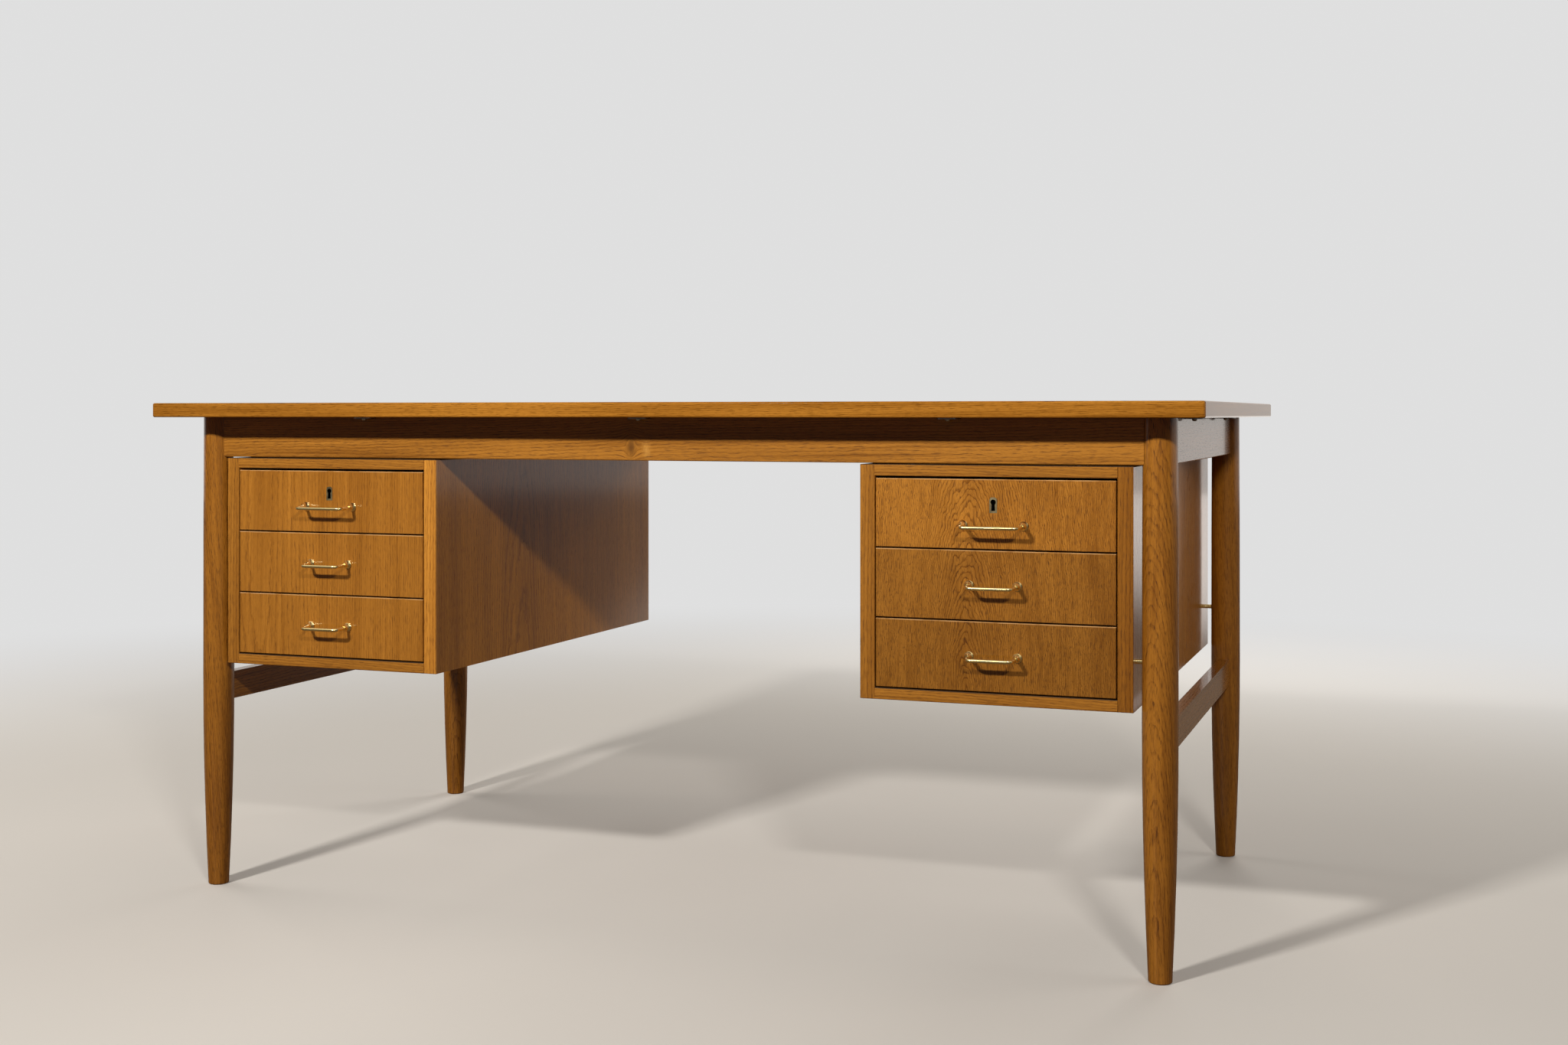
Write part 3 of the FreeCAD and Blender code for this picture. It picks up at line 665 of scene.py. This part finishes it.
def dress_rails():
    """Aprons and stretchers, the front apron with its knot."""
    heart_x, heart_depth = apron_heart
    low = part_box("front_apron")[0]
    heart = (heart_x, low.y + heart_depth, low.z - front_apron_heart_drop)
    give(knotted_oak("front_apron_oak", heart, apron_lean, solid_tones), "front_apron")
    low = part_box("rear_apron")[0]
    heart = (heart_x, low.y + heart_depth, low.z - rear_apron_heart_drop)
    give(oak("rear_apron_oak", "x", heart, apron_lean, solid_tones), "rear_apron")
    for name in ("left_apron", "right_apron", "left_stretcher", "right_stretcher"):
        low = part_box(name)[0]
        heart = (low.x - rail_heart_inset, 0.0, low.z - rail_heart_drop)
        give(oak(name + "_oak", "y", heart, rail_lean, leg_tones), name)


def dress_top():
    """Satin top, with nearly bare long lippings and lacquered end ones that meet in mitres."""
    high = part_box("top_panel")[1]
    heart = (*top_heart, high.z - top_heart_drop)
    give(oak("top_veneer", "x", heart, top_lean, front_tones, **top_finish), "top_panel")
    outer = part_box("top_lipping")[1]

    def on_the_ends(tree, at):
        beyond_x = calc(tree, "SUBTRACT", calc(tree, "ABSOLUTE", at["X"]), outer.x)
        beyond_y = calc(tree, "SUBTRACT", calc(tree, "ABSOLUTE", at["Y"]), outer.y)
        return calc(tree, "GREATER_THAN", beyond_x, beyond_y)

    long_heart = (*long_lipping_heart, outer.z - long_lipping_drop)
    end_heart = (*end_lipping_heart, outer.z - end_lipping_drop)
    logs = (("x", long_heart, long_lipping_lean), ("y", end_heart, end_lipping_lean))
    tones = (solid_tones, solid_tones)
    lipping = two_way_oak("lipping_oak", on_the_ends, *logs, *tones, **lipping_finish)
    lacquer_by_place(lipping, on_the_ends, long_lipping_lacquer, end_lipping_lacquer)
    give(lipping, "top_lipping")


def dress_pedestal_side(node, sign, edge_tones):
    """Veneered side with a solid front edge."""
    low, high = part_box(node)

    def on_the_front(tree, at):
        return calc(tree, "LESS_THAN", at["Y"], low.y + solid_edge_depth)

    face_heart = (low.x + side_heart_inset, side_heart_depth * sign, log_height)
    edge_heart = (low.x + side_edge_inset[0], low.y + side_edge_inset[1], log_height)
    logs = (("z", face_heart, side_lean), ("z", edge_heart, side_edge_lean))
    tones = (panel_tones, edge_tones)
    veneer = two_way_oak(node + "_veneer", on_the_front, *logs, *tones, **panel_figure)
    # Raw, with painted shade, on the hidden upper face
    leave_raw_with_painted_shade_above(veneer, high.z - raw_depth)
    give(veneer, node)


def dress_pedestals():
    """Veneered sides with solid front edges, boards showing solid edges, and plain backs."""
    edge_tones = {
        "left": {"outer_side": solid_tones, "inner_side": bright_tones},
        "right": {"outer_side": stile_tones, "inner_side": solid_tones},
    }
    for side, sign in (("left", -1), ("right", 1)):
        low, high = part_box(side + "_pedestal_back")
        middle = (low.x + high.x) / 2
        for name, tones in edge_tones[side].items():
            dress_pedestal_side(side + "_pedestal_" + name, sign, tones)
        for name in ("top", "bottom"):
            node = side + "_pedestal_" + name
            low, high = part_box(node)
            heart = (middle, low.y + board_heart_depth, low.z - board_heart_drop)
            board = oak(node + "_oak", "x", heart, board_lean, solid_tones)
            # Raw, with painted shade, on the hidden upper face
            leave_raw_with_painted_shade_above(board, high.z - raw_depth)
            give(board, node)
        heart = (middle, back_heart_depth, log_height)
        back = oak(side + "_back_veneer", "z", heart, back_lean, panel_tones, lacquer=back_lacquer)
        give(back, side + "_pedestal_back")


def dress_drawer_insides():
    """Pale oak boxes and runners, and plywood bottoms."""
    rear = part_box("left_top_drawer_bottom")[1].y

    def on_the_back(tree, at):
        return calc(tree, "GREATER_THAN", at["Y"], rear - box_back_depth)

    logs = (box_side_log, box_back_log)
    tones = (inside_tones, inside_tones)
    boxes = two_way_oak("drawer_box_oak", on_the_back, *logs, *tones, lacquer=box_lacquer)
    finish = {"ring_width": plywood_ring_width, "lacquer": 0.0}
    sheets = oak("drawer_plywood", *plywood_log, plywood_tones, **finish)
    give(oak("runner_oak", *runner_log, inside_tones, lacquer=0.0), "drawer_runners")
    give(boxes, *[name for name in nodes if name.endswith("_drawer_box")])
    give(sheets, *[name for name in nodes if name.endswith("_drawer_bottom")])


def dress_drawer_fronts():
    """Fronts cut from one sheet of veneer per pedestal, and painted shade in the keyholes of the top
    ones.
    """
    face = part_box("left_top_drawer_front")[0].y

    def in_the_keyhole(tree, at):
        return calc(tree, "GREATER_THAN", at["Y"], face + bore_start_depth)

    # Painted shade in the bore of a front's keyhole
    def paint_keyhole_shade(veneer, key):
        def beside_the_keyhole(tree, at):
            aside = calc(tree, "ABSOLUTE", calc(tree, "SUBTRACT", at["X"], key.x))
            above = calc(tree, "ABSOLUTE", calc(tree, "SUBTRACT", at["Z"], key.z))
            near = calc(tree, "LESS_THAN", calc(tree, "MAXIMUM", aside, above), bore_reach)
            return calc(tree, "MULTIPLY", near, in_the_keyhole(tree, at))

        paint_shade_within(veneer, beside_the_keyhole)

    for side, (heart_x, heart_depth) in front_hearts.items():
        heart = (heart_x, face + heart_depth, log_height)
        # Painted shade: each row's tones scaled by its factor, darker towards the bottom
        for level, shade in zip(("bottom", "middle", "top"), front_painted_shades[side]):
            name = side + "_" + level + "_drawer_"
            tones = [[part * shade for part in tone] for tone in front_tones]
            cut = ("z", heart, front_leans[side])
            veneer = oak(name + "veneer", *cut, tones, **front_figures[side])
            # Painted highlight along the front's upper edge, where it catches the light
            paint_upper_edge_highlight(veneer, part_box(name + "front")[1].z)
            give(veneer, name + "front")
        low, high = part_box(side + "_key_escutcheon")
        paint_keyhole_shade(veneer, (low + high) / 2)
    aged = metal("aged_brass", aged_brass_tones, aged_brass_roughness)
    # Painted shade inside the escutcheons' keyholes, behind their faces
    paint_shade_within(aged, in_the_keyhole)
    give(aged, "left_key_escutcheon", "right_key_escutcheon")


def dress_metal():
    """Polished brass handles and rods, dull steel fasteners and bolts, black lock cases and washers."""
    brass = metal("polished_brass", brass_tones, brass_roughness)
    steel = metal("dull_steel", steel_tones, steel_roughness)
    black_steel = metal("black_steel", black_steel_tones, black_steel_roughness)
    steel_words = ("fastener", "hanger", "bolt")
    give(brass, *[name for name in nodes if name.endswith("_handle")], "pedestal_spacer_rods")
    give(steel, *[name for name in nodes if any(word in name for word in steel_words)])
    give(black_steel, "left_lock_case", "right_lock_case", "pedestal_hanger_washers")


dress_legs()
dress_rails()
dress_top()
dress_pedestals()
dress_drawer_insides()
dress_drawer_fronts()
dress_metal()


# Screws under the top: slotted, in place of the plain ones of the CAD model


def select_faces(test):
    """Select, in edit mode, just the faces that pass a test."""
    bpy.ops.mesh.select_all(action="DESELECT")
    bpy.ops.object.mode_set(mode="OBJECT")
    for face in bpy.context.object.data.polygons:
        face.select = test(face)
    bpy.ops.object.mode_set(mode="EDIT")


def pull(height, factor=1.0):
    """Extrude the selected faces along Z and scale their new rim about the screw's axis."""
    bpy.ops.mesh.extrude_region_move(TRANSFORM_OT_translate={"value": (0.0, 0.0, height)})
    if factor != 1.0:
        bpy.ops.transform.resize(value=(factor, factor, 1.0), center_override=(0.0, 0.0, 0.0))


def cut_slot(made, bottom):
    """Cut the screwdriver's slot into a head's underside."""
    bpy.ops.object.select_all(action="DESELECT")
    bpy.ops.mesh.primitive_cube_add(size=1.0, location=(0.0, 0.0, bottom))
    cutter = bpy.context.object
    bpy.ops.transform.resize(value=screw_slot)
    bpy.ops.object.transform_apply(location=True, rotation=True, scale=True)
    bpy.ops.object.select_all(action="DESELECT")
    bpy.context.view_layer.objects.active = made
    made.select_set(True)
    cut = made.modifiers.new("slot", "BOOLEAN")
    cut.operation = "DIFFERENCE"
    cut.object = cutter
    bpy.ops.object.modifier_apply(modifier=cut.name)
    bpy.data.objects.remove(cutter)


def screw(name, head_steps, neck, length):
    """Wood screw, head down: the head pulled in steps, a slot, a neck, and a shank with a point."""
    bpy.ops.object.select_all(action="DESELECT")
    size = {"vertices": screw_sides, "radius": screw_head_radius, "depth": screw_rim}
    bpy.ops.mesh.primitive_cylinder_add(**size)
    made = bpy.context.object
    made.name = name
    bpy.ops.object.mode_set(mode="EDIT")
    bpy.ops.mesh.select_mode(type="FACE")
    select_faces(lambda face: face.normal.z < -screw_end_facing)
    for drop, factor in head_steps:
        pull(-drop, factor)
    select_faces(lambda face: face.normal.z > screw_end_facing)
    if neck:
        pull(neck, screw_shank_radius / screw_head_radius)
    else:
        bpy.ops.mesh.inset(thickness=screw_head_radius - screw_shank_radius)
    pull(length - neck - screw_point)
    pull(screw_point, screw_tip_share)
    bpy.ops.object.mode_set(mode="OBJECT")
    cut_slot(made, -screw_rim / 2 - sum(drop for drop, factor in head_steps))
    bpy.ops.object.shade_smooth_by_angle(angle=screw_smooth_angle)
    return made


def fasten_top():
    """Two screws in each plate: a round-headed one up into the top, a sunk one down into the apron."""
    low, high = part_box("top_fastener_screws")
    plate_low, plate_high = (corner.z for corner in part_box("top_fastener_plates"))
    round_screw = screw("round_screw", screw_dome, 0.0, high.z - plate_low)
    sunk_screw = screw("sunk_screw", (), screw_neck, plate_high - low.z - screw_rim)
    upside_down = Matrix.Rotation(math.pi, 4, "X")
    patterns = {
        "round": (round_screw, screw_step, plate_low, Matrix()),
        "sunk": (sunk_screw, 0.0, plate_high, upside_down),
    }
    steel = nodes["top_fastener_screws"].material_slots[0].material
    plates = [(along, side, "y") for side in (-1.0, 1.0) for along in screw_places["y"]]
    plates += [(along, side, "x") for side in (-1.0, 1.0) for along in screw_places["x"]]
    for index, (along, side, across) in enumerate(plates):
        turn = Matrix.Rotation(screw_turn_step * index + screw_first_turn, 4, "Z")
        for kind, (pattern, step, height, flip) in patterns.items():
            out = side * (screw_reach[across] + step)
            spot = (along, out) if across == "y" else (out, along)
            place = Matrix.Translation((*spot, height - screw_rim / 2)) @ turn @ flip
            copy = bpy.data.objects.new("top_%s_screw_%d" % (kind, index + 1), pattern.data.copy())
            bpy.context.collection.objects.link(copy)
            copy.data.transform(place)
            copy.data.materials.append(steel)
            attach(copy, "desk")
            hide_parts("top_fastener_screws")
    bpy.data.objects.remove(round_screw)
    bpy.data.objects.remove(sunk_screw)


fasten_top()


# Studio


def studio_floor():
    """Wide pale floor that fades into the backdrop's tone."""
    bpy.ops.object.select_all(action="DESELECT")
    size = {"vertices": floor_sides, "radius": floor_radius}
    bpy.ops.mesh.primitive_circle_add(fill_type="NGON", **size)
    floor = bpy.context.object
    floor.name = "studio_floor"
    material, tree, shader, place = new_material("studio_floor_paint")
    light_path = add(tree, "ShaderNodeLightPath").outputs
    cloud = noise(tree, place, *floor_noise)["Fac"]
    darker = tuple(floor_cloud_shade * part for part in floor_colour)
    paint = mix(tree, cloud, opaque(floor_colour), opaque(darker))
    paint = mix(tree, light_path["Is Camera Ray"], opaque(floor_bounce_colour), paint)
    tree.links.new(paint, shader.inputs["Base Color"])
    shader.inputs["Roughness"].default_value = floor_roughness
    shader.inputs["Specular IOR Level"].default_value = floor_sheen

    seen = calc(tree, "MAXIMUM", light_path["Is Camera Ray"], light_path["Is Glossy Ray"])
    fade = calc(tree, "MULTIPLY", ramp(tree, distance(tree, place), *floor_fade), seen)
    at = xyz(tree, place)
    bearing = calc(tree, "ABSOLUTE", calc(tree, "ARCTAN2", at["X"], at["Y"]))
    mirrored = ramp(tree, bearing, *far_floor_bearings, *far_floor_levels)
    mirrored = mix(tree, 1.0, mirrored, opaque(mirrored_tint), "MULTIPLY")
    level = mix(tree, light_path["Is Camera Ray"], mirrored, grey(backdrop_level))
    distant = add(tree, "ShaderNodeEmission", {"Color": level})
    ends = {0: fade, 1: shader.outputs[0], 2: distant.outputs[0]}
    joined = add(tree, "ShaderNodeMixShader", ends)
    tree.links.new(joined.outputs[0], tree.nodes["Material Output"].inputs["Surface"])
    floor.data.materials.append(material)


def studio_world():
    """Pale backdrop for the camera, a dim room on the sitter's side in gloss, and soft fill."""
    world = bpy.data.worlds.new("studio")
    bpy.context.scene.world = world
    world.use_nodes = True
    tree = world.node_tree
    along = xyz(tree, add(tree, "ShaderNodeTexCoord").outputs["Generated"])
    behind = ramp(tree, along["Y"], *mirrored_span, room_side_level, mirrored_level)
    overhead = ramp(tree, along["Z"], *ceiling_span, room_side_level, ceiling_level)
    mirrored = calc(tree, "MAXIMUM", behind, overhead)
    mirrored = mix(tree, 1.0, mirrored, opaque(mirrored_tint), "MULTIPLY")
    light_path = add(tree, "ShaderNodeLightPath").outputs
    level = mix(tree, light_path["Is Glossy Ray"], grey(fill_level), mirrored)
    seen = calc(tree, "MAXIMUM", light_path["Is Camera Ray"], light_path["Is Transmission Ray"])
    level = mix(tree, seen, level, grey(backdrop_level))
    tree.links.new(level, tree.nodes["Background"].inputs["Color"])


def softbox(name, place, target, power, size):
    """Rectangular lamp that faces a point."""
    bpy.ops.object.select_all(action="DESELECT")
    bpy.ops.object.light_add(type="AREA", location=place)
    lamp = bpy.context.object
    lamp.name = name
    lamp.data.shape = "RECTANGLE"
    lamp.data.size, lamp.data.size_y = size
    lamp.data.energy = power
    lamp.rotation_euler = (Vector(target) - Vector(place)).to_track_quat("-Z", "Y").to_euler()
    return lamp


def studio_lamps():
    """Two small lamps before the desk, and wide ones at its back and ends that gloss doesn't show."""
    for name, lamp in lamps.items():
        softbox(name, *lamp, lamp_size)
    for name, lamp in fill_lamps.items():
        softbox(name, *lamp, fill_lamp_size).visible_glossy = False


def photograph_camera():
    """Camera with the photograph's view."""
    bpy.ops.object.select_all(action="DESELECT")
    turn = (math.pi / 2, 0.0, camera_turn)
    bpy.ops.object.camera_add(location=camera_place, rotation=turn)
    camera = bpy.context.object
    camera.data.lens = camera_lens
    camera.data.sensor_width = camera_sensor
    camera.data.shift_y = camera_shift
    bpy.context.scene.camera = camera


studio_floor()
studio_world()
studio_lamps()
photograph_camera()
bpy.context.scene.view_settings.view_transform = "Standard"
